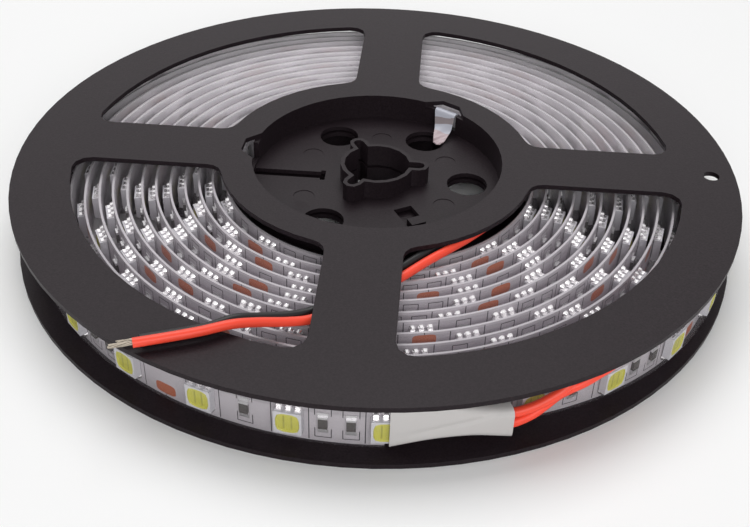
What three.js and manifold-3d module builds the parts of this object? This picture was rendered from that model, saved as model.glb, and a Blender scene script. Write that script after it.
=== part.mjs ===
// LED strip light reel: two plastic reel halves, one coiled strip, its sleeves and its leads.
// Lengths in millimetres, +Z up, the reel's axis is Z, the underside of the lower half is z = 0.
import * as THREE from 'three';
import { mergeVertices } from 'three/addons/utils/BufferGeometryUtils.js';
import Module from 'manifold-3d';

const wasm = await Module();
wasm.setup();

// Reel
const REEL_RADIUS = 78;
const REEL_HEIGHT = 14.5;
const FLANGE_THICKNESS = 1.05;
const SPOKE_WIDTH = 15.4;
const RIM_WIDTH = 12.2;
const WINDOW_INNER_RADIUS = 34.4;
const WINDOW_FILLET = 3.6;
const RIM_EYE_RADIUS = 1.75;

// Hub
const RECESS_RADIUS = 27.5;
const HUB_WALL = 1.2;
const HUB_FLOOR_DEPTH = 5.95;
const HUB_FLOOR_THICKNESS = 1.0;
const HALF_JOINT_GAP = 0.3;
const HUB_HOLE_RADIUS = 4.5;
const HUB_HOLE_CIRCLE = 20.2;
const SINK_CIRCLE = 17.6;
const ARBOR_RADIUS = 7.2;
const ARBOR_KEY_WIDTH = 2.3;
const ARBOR_KEY_REACH = 10.6;
const ARBOR_WALL = 0.9;
const ARBOR_RING_HEIGHT = 4.1;
const ENTRY_WIDTH = 6.2;
const ENTRY_NOTCH = 2.5;

// Strip
const COAT_WIDTH = 9.8;
const COAT_THICKNESS = 2.3;
const STRIP_LENGTH = 4600;
const LED_PITCH = 50 / 3;
const LED_SIZE = 5;
const LED_HEIGHT = 1.5;
const LED_POCKET_CLEARANCE = 0.15;
const LED_FACE_DEPTH = 0.2;
const LEDS_IN_VIEW = 27;
const WINDING_CLEARANCE = 2.77;
const RIM_CLEARANCE = 2.9;
const STRIP_END_ANGLE = -78.1;
const END_LIFT = 0.4;
const END_LIFT_LENGTH = 48;
const END_CUT_LENGTH = 8.4;
const END_CUT_BELOW = 1.7;
const END_CUT_ABOVE = 0.4;
const START_DROP = 0.95;
const START_DROP_LENGTH = 45;

// Slack of the outermost turn: it stands off the turn inside it before it passes the strip's end
const SLACK_HEIGHT = 4.2;
const SLACK_FROM = 318;
const SLACK_RISE = 66;
const SLACK_FALL = 62;
const SLACK_TO = 462;

// Leads and sleeves
const LEAD_DIAMETER = 1.8;
const CONDUCTOR_DIAMETER = 0.9;
const TIP_LENGTH = 4.2;
const SLEEVE_WALL = 0.3;
const SLEEVE_CLEARANCE = 0.1;

// Heights that follow from the driving dimensions
const UPPER_FLANGE_UNDERSIDE = REEL_HEIGHT - FLANGE_THICKNESS;
const MID_HEIGHT = REEL_HEIGHT / 2;
const FLOOR_TOP = REEL_HEIGHT - HUB_FLOOR_DEPTH;
const FLOOR_BOTTOM = FLOOR_TOP - HUB_FLOOR_THICKNESS;
const FLANGE_GAP = UPPER_FLANGE_UNDERSIDE - FLANGE_THICKNESS;
const LEAD_GAP = 0.09;
const COAT_TOP = UPPER_FLANGE_UNDERSIDE - LEAD_DIAMETER - 2 * LEAD_GAP;
const COAT_BOTTOM = COAT_TOP - Math.min(COAT_WIDTH, FLANGE_GAP - LEAD_DIAMETER - 0.8);
const COAT_MIDDLE = (COAT_TOP + COAT_BOTTOM) / 2;
const WINDOW_OUTER_RADIUS = REEL_RADIUS - RIM_WIDTH;
const HUB_OUTER_RADIUS = RECESS_RADIUS + HUB_WALL;
const FUSE = 0.2;

// Winding, measured along the middle of the strip's thickness
const WIND_START_RADIUS = HUB_OUTER_RADIUS + WINDING_CLEARANCE + COAT_THICKNESS / 2;
const WIND_END_RADIUS = REEL_RADIUS - RIM_CLEARANCE - COAT_THICKNESS / 2;
const WIND_PITCH =
  (Math.PI * (WIND_END_RADIUS ** 2 - WIND_START_RADIUS ** 2)) / STRIP_LENGTH;

const material = (name, color, roughness, metalness = 0, extra = {}) =>
  new THREE.MeshStandardMaterial({ name, color, roughness, metalness, ...extra });
const PLASTIC = material('black_plastic', 0x2b292a, 0.55);
const COAT = material('clear_coat', 0xd9d4da, 0.3);
const PACKAGE = material('led_package', 0xe9e4a8, 0.4);
const SLEEVE = material('white_sleeve', 0xe6e3dc, 0.45);
const RED_LEAD = material('red_insulation', 0xd9402c, 0.4);
const BLACK_LEAD = material('black_insulation', 0x1c1c1e, 0.45);
const TINNED = material('tinned_copper', 0xc9c2b2, 0.35, 0.9);
const TAPE = material('milky_tape', 0xd2d0d6, 0.5);

const group = new THREE.Group();
group.name = 'led_strip_light_reel';

function addMesh(name, geometry, mat) {
  const mesh = new THREE.Mesh(geometry, mat);
  mesh.name = name;
  group.add(mesh);
  return mesh;
}

const HUB_SIDES = 54;
const RIM_SIDES = 96;
const rad = (degrees) => (degrees * Math.PI) / 180;
const polar = (radius, angle) =>
  new THREE.Vector2(radius * Math.cos(angle), radius * Math.sin(angle));

// Welded, index-only copy of a closed geometry, as a solid for add, subtract and intersect.
function toSolid(geometry) {
  const bare = geometry.index ? geometry.toNonIndexed() : geometry.clone();
  for (const key of Object.keys(bare.attributes)) {
    if (key !== 'position') bare.deleteAttribute(key);
  }
  const welded = mergeVertices(bare, 1e-4);
  return new wasm.Manifold(
    new wasm.Mesh({
      numProp: 3,
      vertProperties: new Float32Array(welded.attributes.position.array),
      triVerts: new Uint32Array(welded.index.array),
    })
  );
}

function toGeometry(solid) {
  const mesh = solid.getMesh();
  const geometry = new THREE.BufferGeometry();
  const count = mesh.vertProperties.length / mesh.numProp;
  const position = new Float32Array(count * 3);
  for (let i = 0; i < count; i += 1) {
    for (let k = 0; k < 3; k += 1) {
      position[3 * i + k] = mesh.vertProperties[i * mesh.numProp + k];
    }
  }
  geometry.setAttribute('position', new THREE.BufferAttribute(position, 3));
  geometry.setIndex(Array.from(mesh.triVerts));
  geometry.computeVertexNormals();
  return geometry;
}

function circlePoints(cx, cy, radius, count, start = 0) {
  const points = [];
  for (let i = 0; i < count; i += 1) {
    const angle = start + (2 * Math.PI * i) / count;
    points.push(new THREE.Vector2(cx + radius * Math.cos(angle), cy + radius * Math.sin(angle)));
  }
  return points;
}

function arcPoints(cx, cy, radius, from, to, count) {
  const points = [];
  for (let i = 0; i <= count; i += 1) {
    const angle = from + ((to - from) * i) / count;
    points.push(new THREE.Vector2(cx + radius * Math.cos(angle), cy + radius * Math.sin(angle)));
  }
  return points;
}

// Plate of the given outline and holes between two heights.
function plate(outline, holes, bottom, top) {
  const shape = new THREE.Shape(outline);
  for (const hole of holes) shape.holes.push(new THREE.Path(hole));
  const geometry = new THREE.ExtrudeGeometry(shape, {
    depth: top - bottom,
    bevelEnabled: false,
    steps: 1,
  });
  geometry.translate(0, 0, bottom);
  return geometry;
}

function boxAt(radial, tangential, bottom, top, radius, angle) {
  const geometry = new THREE.BoxGeometry(radial, tangential, top - bottom);
  geometry.translate(radius, 0, (top + bottom) / 2);
  geometry.rotateZ(angle);
  return geometry;
}

function drum(radius, bottom, top, centre, count) {
  return plate(circlePoints(centre.x, centre.y, radius, count), [], bottom, top);
}

// One window: between the spokes' edges and two arcs, with all four corners rounded.
function windowPoints(quarter) {
  const edge = SPOKE_WIDTH / 2;
  const f = WINDOW_FILLET;
  const outX = Math.sqrt((WINDOW_OUTER_RADIUS - f) ** 2 - (edge + f) ** 2);
  const inX = Math.sqrt((WINDOW_INNER_RADIUS + f) ** 2 - (edge + f) ** 2);
  const outTurn = Math.atan2(edge + f, outX);
  const inTurn = Math.atan2(edge + f, inX);
  const right = Math.PI / 2;
  const local = [
    ...arcPoints(outX, edge + f, f, -right, outTurn, 3),
    ...arcPoints(0, 0, WINDOW_OUTER_RADIUS, outTurn, right - outTurn, 14).slice(1, -1),
    ...arcPoints(edge + f, outX, f, right - outTurn, 2 * right, 3),
    ...arcPoints(edge + f, inX, f, 2 * right, 3 * right - inTurn, 3),
    ...arcPoints(0, 0, WINDOW_INNER_RADIUS, right - inTurn, inTurn, 8).slice(1, -1),
    ...arcPoints(inX, edge + f, f, Math.PI + inTurn, 3 * right, 3),
  ];
  const turn = quarter * right;
  return local.map((p) => p.clone().rotateAround(new THREE.Vector2(0, 0), turn));
}

// Outline of the keyed arbor opening, grown outwards by the given offset.
function arborPoints(offset) {
  const radius = ARBOR_RADIUS + offset;
  const half = ARBOR_KEY_WIDTH / 2 + offset;
  const reach = ARBOR_KEY_REACH + offset;
  const mouth = Math.asin(half / radius);
  const third = (2 * Math.PI) / 3;
  const points = [];
  for (let key = 0; key < 3; key += 1) {
    const turn = key * third;
    points.push(polar(radius, turn - mouth));
    for (const p of arcPoints(reach - half, 0, half, -Math.PI / 2, Math.PI / 2, 4)) {
      points.push(p.rotateAround(new THREE.Vector2(0, 0), turn));
    }
    points.push(polar(radius, turn + mouth));
    points.push(...arcPoints(0, 0, radius, turn + mouth, turn + third - mouth, 5).slice(1, -1));
  }
  return points;
}

const ENTRY_ANGLES = [58, 177].map(rad);
const ROUND_HOLE_ANGLES = [0, 60, 120, 240].map(rad);
const SINK_ANGLES = [30, 90, 150, 210, 330].map(rad);
const PEG_ANGLES = [30, 150, 270].map(rad);
const LATCH_ANGLE = rad(300);
const LATCH_LENGTH = 7;
const LATCH_WIDTH = 4.2;
const LATCH_CIRCLE = 16.2;

// One half of the reel, written as the upper one: flange, hub wall, hub floor and arbor ring.
function reelHalf(isUpper) {
  const flangeHoles = [circlePoints(0, 0, RECESS_RADIUS, HUB_SIDES)];
  for (let quarter = 0; quarter < 4; quarter += 1) flangeHoles.push(windowPoints(quarter));
  const eyeCircle = (WINDOW_OUTER_RADIUS + REEL_RADIUS) / 2 + 0.9;
  flangeHoles.push(circlePoints(eyeCircle, 0, RIM_EYE_RADIUS, 16));
  const flange = plate(
    circlePoints(0, 0, REEL_RADIUS, RIM_SIDES),
    flangeHoles,
    UPPER_FLANGE_UNDERSIDE,
    REEL_HEIGHT
  );
  const wall = plate(
    circlePoints(0, 0, HUB_OUTER_RADIUS, HUB_SIDES),
    [circlePoints(0, 0, RECESS_RADIUS, HUB_SIDES)],
    MID_HEIGHT + HALF_JOINT_GAP / 2,
    UPPER_FLANGE_UNDERSIDE
  );
  const holes = ROUND_HOLE_ANGLES.map((angle) => {
    const c = polar(HUB_HOLE_CIRCLE, angle);
    return circlePoints(c.x, c.y, HUB_HOLE_RADIUS, 20);
  });
  holes.push(arborPoints(0));
  const floor = plate(
    circlePoints(0, 0, RECESS_RADIUS + FUSE, HUB_SIDES),
    holes,
    FLOOR_BOTTOM,
    FLOOR_TOP
  );
  const ring = plate(
    arborPoints(ARBOR_WALL),
    [arborPoints(0)],
    FLOOR_TOP - FUSE,
    FLOOR_TOP + ARBOR_RING_HEIGHT
  );
  let disc = toSolid(flange);
  let hub = toSolid(wall).add(toSolid(floor)).add(toSolid(ring));

  const over = REEL_HEIGHT + 1;
  for (const angle of ENTRY_ANGLES) {
    const cut = boxAt(3, ENTRY_WIDTH, FLOOR_TOP + 0.9, over, RECESS_RADIUS + 0.3, angle);
    const deep = RECESS_RADIUS + ENTRY_NOTCH;
    const wide = ENTRY_WIDTH / 2 + ENTRY_NOTCH;
    const notch = plate(
      [
        new THREE.Vector2(RECESS_RADIUS - 2, -wide - 1.2),
        new THREE.Vector2(deep, -ENTRY_WIDTH / 2 + 0.8),
        new THREE.Vector2(deep, ENTRY_WIDTH / 2 - 0.8),
        new THREE.Vector2(RECESS_RADIUS - 2, wide + 1.2),
      ],
      [],
      UPPER_FLANGE_UNDERSIDE - FUSE,
      over
    );
    notch.rotateZ(angle);
    disc = disc.subtract(toSolid(cut)).subtract(toSolid(notch));
    hub = hub.subtract(toSolid(cut)).subtract(toSolid(notch));
  }
  const slotStart = ARBOR_KEY_REACH + ARBOR_WALL;
  const slotLength = RECESS_RADIUS - slotStart;
  const slot = boxAt(
    slotLength,
    2.6,
    FLOOR_BOTTOM - 1,
    FLOOR_TOP + 1,
    slotStart + slotLength / 2,
    Math.PI
  );
  const slotEnd = boxAt(1.1, 3.8, FLOOR_BOTTOM - 1, FLOOR_TOP + 1, slotStart + 0.55, Math.PI);
  hub = hub.subtract(toSolid(slot)).subtract(toSolid(slotEnd));
  for (const angle of SINK_ANGLES) {
    const c = polar(SINK_CIRCLE, angle);
    hub = hub.subtract(toSolid(drum(2.35, FLOOR_TOP - 0.12, FLOOR_TOP + 0.5, c, 14)));
  }

  const latchMiddle = LATCH_CIRCLE;
  if (isUpper) {
    const opening = boxAt(
      LATCH_LENGTH,
      LATCH_WIDTH,
      FLOOR_BOTTOM - 1,
      FLOOR_TOP + 1,
      latchMiddle,
      LATCH_ANGLE
    );
    hub = hub.subtract(toSolid(opening));
    for (const angle of PEG_ANGLES) {
      const c = polar(SINK_CIRCLE, angle);
      hub = hub.subtract(toSolid(drum(1.65, FLOOR_BOTTOM - 1, FLOOR_BOTTOM + 0.6, c, 12)));
    }
  } else {
    for (const angle of PEG_ANGLES) {
      const c = polar(SINK_CIRCLE, angle);
      const pegEnd = REEL_HEIGHT - FLOOR_BOTTOM - 0.4;
      hub = hub.add(toSolid(drum(1.5, pegEnd, FLOOR_BOTTOM + FUSE, c, 12)));
    }
    const edge = latchMiddle + LATCH_LENGTH / 2;
    const hookTip = REEL_HEIGHT - FLOOR_TOP - 0.95;
    const tongue = boxAt(1.5, 3.2, hookTip, FLOOR_BOTTOM + FUSE, edge - 1.0, LATCH_ANGLE);
    const nib = boxAt(1.2, 3.2, hookTip, hookTip + 0.7, edge + 0.2, LATCH_ANGLE);
    hub = hub.add(toSolid(tongue)).add(toSolid(nib));
  }
  return { disc, hub };
}

// Each half is one moulding, written as a flat flange and a hub that meet at the flange's underside.
const upper = reelHalf(true);
addMesh('upper_flange', toGeometry(upper.disc), PLASTIC);
addMesh('upper_hub', toGeometry(upper.hub), PLASTIC);
const lower = reelHalf(false);
const turnOver = (solid) => solid.mirror([0, 0, 1]).translate([0, 0, REEL_HEIGHT]);
addMesh('lower_flange', toGeometry(turnOver(lower.disc)), PLASTIC);
addMesh('lower_hub', toGeometry(turnOver(lower.hub)), PLASTIC);

// Position on the strip's centre line at a length from its inner end.
function smoothStep(t) {
  const x = Math.min(Math.max(t, 0), 1);
  return x * x * (3 - 2 * x);
}
const TOTAL_TURN = (2 * Math.PI * (WIND_END_RADIUS - WIND_START_RADIUS)) / WIND_PITCH;
const START_ANGLE = rad(STRIP_END_ANGLE) - TOTAL_TURN;

function baseRadius(length) {
  return Math.sqrt(WIND_START_RADIUS ** 2 + (WIND_PITCH * length) / Math.PI);
}

// Sum of smoothStep from 0 to t.
function smoothSum(t) {
  if (t <= 0) return 0;
  return t < 1 ? t ** 3 - t ** 4 / 2 : t - 0.5;
}

// Height of the slack, and the angle that its longer way round gives back to the turns inside it.
function slack(length) {
  const back = STRIP_LENGTH - length;
  const rise = (back - SLACK_FROM) / SLACK_RISE;
  const fall = (back - SLACK_TO + SLACK_FALL) / SLACK_FALL;
  const height = SLACK_HEIGHT * (smoothStep(rise) - smoothStep(fall));
  const swept = SLACK_HEIGHT * (SLACK_RISE * smoothSum(rise) - SLACK_FALL * smoothSum(fall));
  const middle = baseRadius(STRIP_LENGTH - (SLACK_FROM + SLACK_TO) / 2);
  return { height, turn: swept / middle ** 2 };
}

function windPoint(length) {
  const base = baseRadius(length);
  const lift = END_LIFT * smoothStep(1 - (STRIP_LENGTH - length) / END_LIFT_LENGTH);
  const drop = START_DROP * smoothStep(1 - length / START_DROP_LENGTH);
  const { height, turn } = slack(length);
  const angle = START_ANGLE + (2 * Math.PI * (base - WIND_START_RADIUS)) / WIND_PITCH;
  return { radius: base + lift - drop + height, angle: angle + turn };
}

// Closed solid swept through sections of equal point count; each section is a closed loop.
function sweepSections(sections) {
  const n = sections[0].length;
  const position = [];
  for (const section of sections) {
    for (const p of section) position.push(p[0], p[1], p[2]);
  }
  const index = [];
  for (let s = 0; s + 1 < sections.length; s += 1) {
    for (let i = 0; i < n; i += 1) {
      const a = s * n + i;
      const b = s * n + ((i + 1) % n);
      index.push(a, b, b + n, a, b + n, a + n);
    }
  }
  const last = (sections.length - 1) * n;
  for (let i = 1; i + 1 < n; i += 1) {
    index.push(0, i + 1, i);
    index.push(last, last + i, last + i + 1);
  }
  const geometry = new THREE.BufferGeometry();
  geometry.setAttribute('position', new THREE.Float32BufferAttribute(position, 3));
  geometry.setIndex(index);
  geometry.computeVertexNormals();
  return geometry;
}

// Stations sit halfway between light packages and parts, so that each package lies on a flat.
const STATION_STEP = LED_PITCH / 2;
const stations = [0];
for (let s = STATION_STEP / 2; s < STRIP_LENGTH - 0.5; s += STATION_STEP) stations.push(s);
stations.push(STRIP_LENGTH);

function coatSection(length) {
  const { radius, angle } = windPoint(length);
  const back = radius - COAT_THICKNESS / 2;
  const front = radius + COAT_THICKNESS / 2;
  const c = Math.cos(angle);
  const s = Math.sin(angle);
  return [
    [back * c, back * s, COAT_BOTTOM],
    [back * c, back * s, COAT_TOP],
    [front * c, front * s, COAT_TOP],
    [front * c, front * s, COAT_BOTTOM],
  ];
}
let strip = toSolid(sweepSections(stations.map(coatSection)));

// The coat is cut back below and above where the sleeve is pushed over the strip's end.
const COAT_HEIGHT = COAT_TOP - COAT_BOTTOM;
for (const [size, edge] of [
  [END_CUT_BELOW, COAT_BOTTOM],
  [END_CUT_ABOVE, COAT_TOP],
]) {
  const past = END_CUT_LENGTH / 4;
  const { radius, angle } = windPoint(STRIP_LENGTH - END_CUT_LENGTH / 2 + past);
  const long = END_CUT_LENGTH + 2 * past;
  const cut = boxAt(2 * COAT_THICKNESS, long, edge - size, edge + size, radius, angle);
  strip = strip.subtract(toSolid(cut));
}

// Light packages of the outermost turn, each in a pocket that is open outwards.
const packages = [];
const ledCount = Math.floor(STRIP_LENGTH / LED_PITCH);
for (let i = 1; i <= LEDS_IN_VIEW; i += 1) {
  const middle = LED_PITCH * (ledCount - i + 0.5);
  const before = windPoint(middle - STATION_STEP / 2);
  const after = windPoint(middle + STATION_STEP / 2);
  const a = polar(before.radius, before.angle);
  const b = polar(after.radius, after.angle);
  const centre = a.clone().add(b).multiplyScalar(0.5);
  const along = Math.atan2(b.y - a.y, b.x - a.x);
  packages.push({ centre, along });
}

function placeOnStrip(geometry, spot) {
  geometry.rotateZ(spot.along);
  geometry.translate(spot.centre.x, spot.centre.y, COAT_MIDDLE);
  return geometry;
}

const FACE = COAT_THICKNESS / 2;
packages.forEach((spot) => {
  const depth = LED_FACE_DEPTH + LED_HEIGHT + 0.05;
  const side = LED_SIZE + 2 * LED_POCKET_CLEARANCE;
  const pocket = new THREE.BoxGeometry(side, depth + 1, side);
  pocket.translate(0, -(FACE - depth + (depth + 1) / 2), 0);
  strip = strip.subtract(toSolid(placeOnStrip(pocket, spot)));
});
addMesh('strip_roll', toGeometry(strip), COAT);

packages.forEach((spot, i) => {
  const top = -(FACE - LED_FACE_DEPTH);
  const body = new THREE.BoxGeometry(LED_SIZE, LED_HEIGHT, LED_SIZE);
  body.translate(0, top + LED_HEIGHT / 2, 0);
  const bowl = new THREE.CylinderGeometry(1.95, 1.75, 0.5, 8);
  bowl.translate(0, top, 0);
  const cut = toSolid(body).subtract(toSolid(bowl));
  addMesh(`led_${String(i + 1).padStart(2, '0')}`, placeOnStrip(toGeometry(cut), spot), PACKAGE);
});

// Flattened tube between two angles on the winding; both ends are open.
function sleeveGeometry(fromAngle, toAngle, steps, shape) {
  const outer = [];
  const inner = [];
  for (let i = 0; i <= steps; i += 1) {
    const t = i / steps;
    const angle = rad(fromAngle + (toAngle - fromAngle) * t);
    const { radius, middle, halfHeight, halfDepth, round } = shape(t);
    const loop = (grow) => {
      const points = [];
      const corner = round + grow * 0.5;
      const h = halfHeight + grow;
      const d = halfDepth + grow;
      const spots = [
        [d - corner, -1, 1],
        [d - corner, 1, 1],
        [-(d - corner), 1, -1],
        [-(d - corner), -1, -1],
      ];
      for (const [offset, side, outwards] of spots) {
        const flat = [radius + offset, middle + side * h];
        const upright = [radius + outwards * d, middle + side * (h - corner)];
        const pair = outwards * side < 0 ? [flat, upright] : [upright, flat];
        for (const [r, z] of pair) {
          points.push([r * Math.cos(angle), r * Math.sin(angle), z]);
        }
      }
      return points;
    };
    outer.push(loop(SLEEVE_WALL));
    inner.push(loop(0));
  }
  const n = outer[0].length;
  const position = [];
  for (const section of [...outer, ...inner]) {
    for (const p of section) position.push(p[0], p[1], p[2]);
  }
  const index = [];
  const base = outer.length * n;
  for (let s = 0; s < steps; s += 1) {
    for (let i = 0; i < n; i += 1) {
      const a = s * n + i;
      const b = s * n + ((i + 1) % n);
      index.push(a, b + n, b, a, a + n, b + n);
      index.push(base + a, base + b, base + b + n, base + a, base + b + n, base + a + n);
    }
  }
  for (let i = 0; i < n; i += 1) {
    const j = (i + 1) % n;
    index.push(i, j, base + j, i, base + j, base + i);
    const e = steps * n;
    index.push(e + i, base + e + j, e + j, e + i, base + e + i, base + e + j);
  }
  const geometry = new THREE.BufferGeometry();
  geometry.setAttribute('position', new THREE.Float32BufferAttribute(position, 3));
  geometry.setIndex(index);
  geometry.computeVertexNormals();
  return geometry;
}

const STRIP_HALF = COAT_HEIGHT / 2 + SLEEVE_CLEARANCE;
const STRIP_DEPTH = COAT_THICKNESS / 2 + SLEEVE_CLEARANCE;
const END_RADIUS = WIND_END_RADIUS + END_LIFT;
const HEEL_RADIUS = WIND_START_RADIUS - START_DROP;
const SLEEVE_BULGE = 0.9;
const SLEEVE_TAPER = 2.3;
addMesh(
  'outer_sleeve',
  sleeveGeometry(STRIP_END_ANGLE - 6, STRIP_END_ANGLE + 10.2, 12, (t) => {
    const cutBottom = COAT_BOTTOM + END_CUT_BELOW - SLEEVE_BULGE - 2 * SLEEVE_CLEARANCE;
    const bottom = cutBottom + SLEEVE_BULGE * Math.sin(Math.PI * t);
    const upTo = COAT_TOP - END_CUT_ABOVE + 2 * SLEEVE_CLEARANCE;
    const top = upTo - SLEEVE_TAPER * smoothStep((t - 0.45) / 0.55);
    return {
      radius: windPoint(STRIP_LENGTH - 8).radius + 0.6 * t * t,
      middle: (top + bottom) / 2,
      halfHeight: (top - bottom) / 2,
      halfDepth: STRIP_DEPTH + 0.15,
      round: 0.3 + 0.6 * smoothStep((t - 0.45) / 0.3),
    };
  }),
  SLEEVE
);

const startDegrees = THREE.MathUtils.radToDeg(START_ANGLE);
const START_TURN = ((startDegrees % 360) + 540) % 360 - 180;
addMesh(
  'inner_sleeve',
  sleeveGeometry(START_TURN - 8, START_TURN + 6, 6, (t) => {
    const narrow = 1 - smoothStep(t / 0.5);
    return {
      radius: HEEL_RADIUS,
      middle: COAT_MIDDLE,
      halfHeight: STRIP_HALF + SLEEVE_CLEARANCE - narrow * (STRIP_HALF - 3.1),
      halfDepth: STRIP_DEPTH + 0.12,
      round: 0.15 + 0.9 * narrow,
    };
  }),
  SLEEVE
);

// Round cord through the given points.
function cord(points, diameter, steps, sides = 8) {
  const curve = new THREE.CatmullRomCurve3(
    points.map((p) => new THREE.Vector3(p[0], p[1], p[2])),
    false,
    'centripetal'
  );
  const section = new THREE.Shape(circlePoints(0, 0, diameter / 2, sides));
  return new THREE.ExtrudeGeometry(section, {
    steps,
    bevelEnabled: false,
    extrudePath: curve,
  });
}

// Bare conductor that stands out of a lead's end along the lead's own direction.
function tip(points, gap) {
  const end = new THREE.Vector3(...points[points.length - 1]);
  const before = new THREE.Vector3(...points[points.length - 2]);
  const dir = end.clone().sub(before).normalize();
  const from = end.clone().addScaledVector(dir, gap);
  const to = from.clone().addScaledVector(dir, TIP_LENGTH);
  return cord([from.toArray(), to.toArray()], CONDUCTOR_DIAMETER, 1);
}

const around = (radius, degrees, z) => {
  const p = polar(radius, rad(degrees));
  return [p.x, p.y, z];
};

// Leads of the inner end: up beside the hub, over the turns, under a spoke, out on the flange.
const CROSSING = UPPER_FLANGE_UNDERSIDE - LEAD_GAP - LEAD_DIAMETER / 2;
const RESTING = REEL_HEIGHT + 0.05 + LEAD_DIAMETER / 2;
const STACKED = RESTING + 0.95;
const START = START_TURN;
const innerRed = [
  around(HEEL_RADIUS, START - 3.2, COAT_MIDDLE + 1.4),
  around(HEEL_RADIUS, START - 9, COAT_MIDDLE + 1.7),
  around(HEEL_RADIUS + 0.1, START - 15, COAT_MIDDLE + 3.6),
  around(HEEL_RADIUS + 0.3, START - 24, CROSSING - 0.5),
  around(HEEL_RADIUS + 0.2, START - 46, CROSSING),
  [20.7, -25.6, CROSSING],
  [16.7, -30.0, CROSSING],
  [12.0, -35.1, CROSSING],
  [8.1, -39.7, CROSSING],
  [2.6, -45.6, CROSSING],
  [-3.2, -50.9, CROSSING],
  [-8.3, -54.5, CROSSING],
  [-11.9, -56.5, CROSSING + 0.85],
  [-17.2, -59.2, STACKED - 1.4],
  [-21.0, -61.4, STACKED - 0.3],
  [-26.1, -64.2, STACKED],
  [-31.6, -66.4, STACKED],
  [-36.8, -68.3, STACKED],
];
const innerBlack = [
  around(HEEL_RADIUS, START - 3.2, COAT_MIDDLE - 1.4),
  around(HEEL_RADIUS - 0.1, START - 9, COAT_MIDDLE - 1.1),
  around(HEEL_RADIUS - 1.3, START - 17, COAT_MIDDLE + 1.4),
  around(HEEL_RADIUS - 1.6, START - 28, CROSSING - 0.9),
  around(HEEL_RADIUS - 1.8, START - 48, CROSSING - 0.06),
  [17.9, -25.5, CROSSING],
  [14.6, -28.9, CROSSING],
  [10.2, -33.9, CROSSING],
  [6.4, -38.4, CROSSING],
  [1.1, -44.0, CROSSING],
  [-4.5, -49.3, CROSSING],
  [-8.9, -52.5, CROSSING],
  [-12.4, -54.6, CROSSING + 0.6],
  [-17.2, -57.0, RESTING - 1.15],
  [-21.0, -59.15, RESTING + 0.02],
  [-25.6, -62.05, RESTING],
  [-31.0, -64.3, RESTING],
  [-36.1, -66.2, RESTING],
];
addMesh('inner_lead_red', cord(innerRed, LEAD_DIAMETER, 36), RED_LEAD);
addMesh('inner_lead_black', cord(innerBlack, LEAD_DIAMETER, 36), BLACK_LEAD);
addMesh('inner_tip_red', tip(innerRed, 0.1), TINNED);
addMesh('inner_tip_black', tip(innerBlack, 0.1), TINNED);

// Leads of the outer end: out of the sleeve, up, and in over the turns under the upper rim.
// Each row is a step out from the end's radius, a turn from the end's angle and a height.
const END = STRIP_END_ANGLE;
const outerLead = (rows) => rows.map(([out, turn, z]) => around(END_RADIUS + out, END + turn, z));
const outerUpper = outerLead([
  [0.4, 2.2, COAT_MIDDLE + 1.2],
  [0.6, 8.1, COAT_MIDDLE + 0.9],
  [0.85, 10.5, COAT_MIDDLE + 1.0],
  [1.05, 11.7, COAT_MIDDLE + 1.2],
  [1.45, 13.5, COAT_MIDDLE + 2.0],
  [1.75, 15.2, COAT_MIDDLE + 3.1],
  [1.95, 16.9, CROSSING - 1.55],
  [1.6, 18.5, CROSSING - 0.38],
  [0.8, 20.3, CROSSING - 0.06],
  [-0.5, 22.3, CROSSING],
  [-1.7, 24.3, CROSSING],
  [-3.1, 27.3, CROSSING],
  [-4.9, 32.3, CROSSING],
  [-6.2, 38.3, CROSSING],
  [-7.0, 45.3, CROSSING],
  [-7.3, 53.3, CROSSING],
]);
const outerLower = outerLead([
  [0.4, 2.2, COAT_MIDDLE - 0.9],
  [0.6, 8.1, COAT_MIDDLE - 1.3],
  [0.85, 10.5, COAT_MIDDLE - 1.4],
  [0.85, 11.7, COAT_MIDDLE - 1.2],
  [0.75, 13.5, COAT_MIDDLE - 0.6],
  [0.75, 15.2, COAT_MIDDLE + 0.7],
  [0.85, 16.9, COAT_MIDDLE + 2.3],
  [1.25, 18.5, COAT_MIDDLE + 3.4],
  [1.7, 20.3, CROSSING - 1.65],
  [1.9, 22.3, CROSSING - 0.75],
  [1.9, 24.3, CROSSING - 0.12],
  [1.0, 27.3, CROSSING],
  [-1.7, 32.3, CROSSING],
  [-3.7, 38.3, CROSSING],
  [-4.8, 45.3, CROSSING],
  [-5.2, 53.3, CROSSING],
]);
addMesh('outer_lead_upper', cord(outerUpper, LEAD_DIAMETER, 30), RED_LEAD);
addMesh('outer_lead_lower', cord(outerLower, LEAD_DIAMETER, 30), RED_LEAD);
addMesh('outer_tip_upper', tip(outerUpper, 0.1), TINNED);
addMesh('outer_tip_lower', tip(outerLower, 0.1), TINNED);

// Tape end that comes through an entry slot of the hub wall and hangs over the hub floor.
// Each row is a step in from the recess wall, a height, and the two edges across the slot.
const TAPE_THICKNESS = 0.4;
const TAPE_HALF = ENTRY_WIDTH / 2 - 0.3;
const NOTCH_HEIGHT = UPPER_FLANGE_UNDERSIDE + 0.1;
const tapeRows = [
  [-HUB_WALL - 0.9, UPPER_FLANGE_UNDERSIDE - 0.7, TAPE_HALF, -TAPE_HALF],
  [-0.7, NOTCH_HEIGHT, TAPE_HALF, -TAPE_HALF],
  [0.1, NOTCH_HEIGHT - 0.05, TAPE_HALF - 0.1, -TAPE_HALF],
  [1.0, NOTCH_HEIGHT - 1.35, TAPE_HALF - 0.7, -TAPE_HALF - 0.2],
  [2.3, FLOOR_TOP + 2.05, TAPE_HALF - 1.6, -TAPE_HALF - 0.5],
  [4.7, FLOOR_TOP + 0.85, TAPE_HALF - 2.9, -TAPE_HALF - 0.7],
  [7.2, FLOOR_TOP + 0.6, TAPE_HALF - 4.5, -TAPE_HALF - 0.75],
];
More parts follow.
